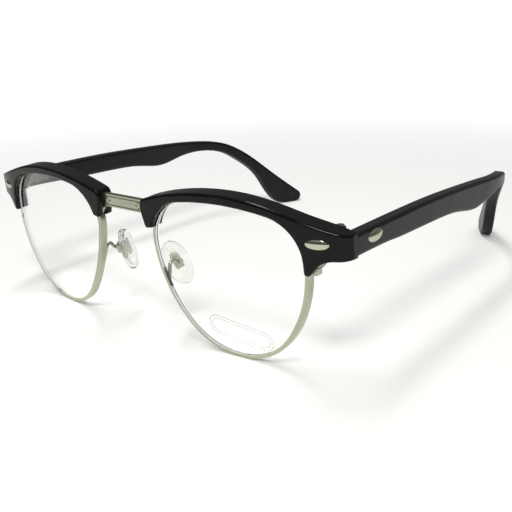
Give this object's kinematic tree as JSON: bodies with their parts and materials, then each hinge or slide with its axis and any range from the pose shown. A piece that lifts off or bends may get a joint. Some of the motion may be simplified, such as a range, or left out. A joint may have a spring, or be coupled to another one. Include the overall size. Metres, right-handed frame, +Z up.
{
  "type": "browline eyeglasses",
  "caption": "Browline eyeglasses: black plastic brows over full metal eyewires, a flat metal bridge, clear lenses, adjustable nose pads and folding black temples.",
  "frame": {"origin": "centre of the bridge bar, where the frame sits over the nose", "axes": "+X to the wearer's left, +Y back along the temples, +Z up; the glasses stand open on their eyewires and temple tips"},
  "size_m": [0.1438, 0.1553, 0.0462],
  "materials": {
    "brow_plastic": "gloss black moulded plastic",
    "temple_plastic": "satin black moulded plastic",
    "frame_metal": "polished nickel silver wire and bar",
    "stud_metal": "polished nickel",
    "hinge_metal": "satin nickel",
    "screw_metal": "turned steel",
    "lens_clear": "clear polished lens",
    "pad_clear": "clear soft pad",
    "pad_core": "satin nickel"
  },
  "bodies": {
    "front": {"bridge": "frame_metal", "brow_left": "brow_plastic", "brow_right": "brow_plastic", "eyewire_left": "frame_metal", "eyewire_right": "frame_metal", "lens_left": "lens_clear", "lens_right": "lens_clear", "rim_lock_left": "frame_metal", "rim_lock_right": "frame_metal", "rim_lock_screw_left": "screw_metal", "rim_lock_screw_right": "screw_metal", "brow_screw_left": "screw_metal", "brow_screw_right": "screw_metal", "front_stud_left": "stud_metal", "front_stud_right": "stud_metal", "front_hinge_left": "hinge_metal", "front_hinge_right": "hinge_metal", "hinge_screw_left": "screw_metal", "hinge_screw_right": "screw_metal", "pad_arm_left": "frame_metal", "pad_arm_right": "frame_metal", "pad_screw_left": "screw_metal", "pad_screw_right": "screw_metal"},
    "temple_left": {"temple_left": "temple_plastic", "temple_stud_left": "stud_metal", "temple_hinge_left": "hinge_metal"},
    "temple_right": {"temple_right": "temple_plastic", "temple_stud_right": "stud_metal", "temple_hinge_right": "hinge_metal"},
    "nose_pad_left": {"nose_pad_left": "pad_clear", "nose_pad_insert_left": "pad_core"},
    "nose_pad_right": {"nose_pad_right": "pad_clear", "nose_pad_insert_right": "pad_core"}
  },
  "joints": [
    {"name": "temple_fold_left", "type": "hinge", "parent": "front", "child": "temple_left", "pos_m": [0.0636, 0.01109, -0.00264], "axis": [0, -0.0785, 0.9969], "range_deg": [0, 87]},
    {"name": "temple_fold_right", "type": "hinge", "parent": "front", "child": "temple_right", "pos_m": [-0.0636, 0.01109, -0.00264], "axis": [0, 0.0785, -0.9969], "range_deg": [0, 75]},
    {"name": "nose_pad_rock_left", "type": "hinge", "parent": "front", "child": "nose_pad_left", "pos_m": [0.01249, 0.00765, -0.01736], "axis": [0.4773, 0.7845, 0.3958], "range_deg": [-8, 8]},
    {"name": "nose_pad_rock_right", "type": "hinge", "parent": "front", "child": "nose_pad_right", "pos_m": [-0.01249, 0.00765, -0.01736], "axis": [-0.4773, 0.7845, 0.3958], "range_deg": [-8, 8]}
  ]
}
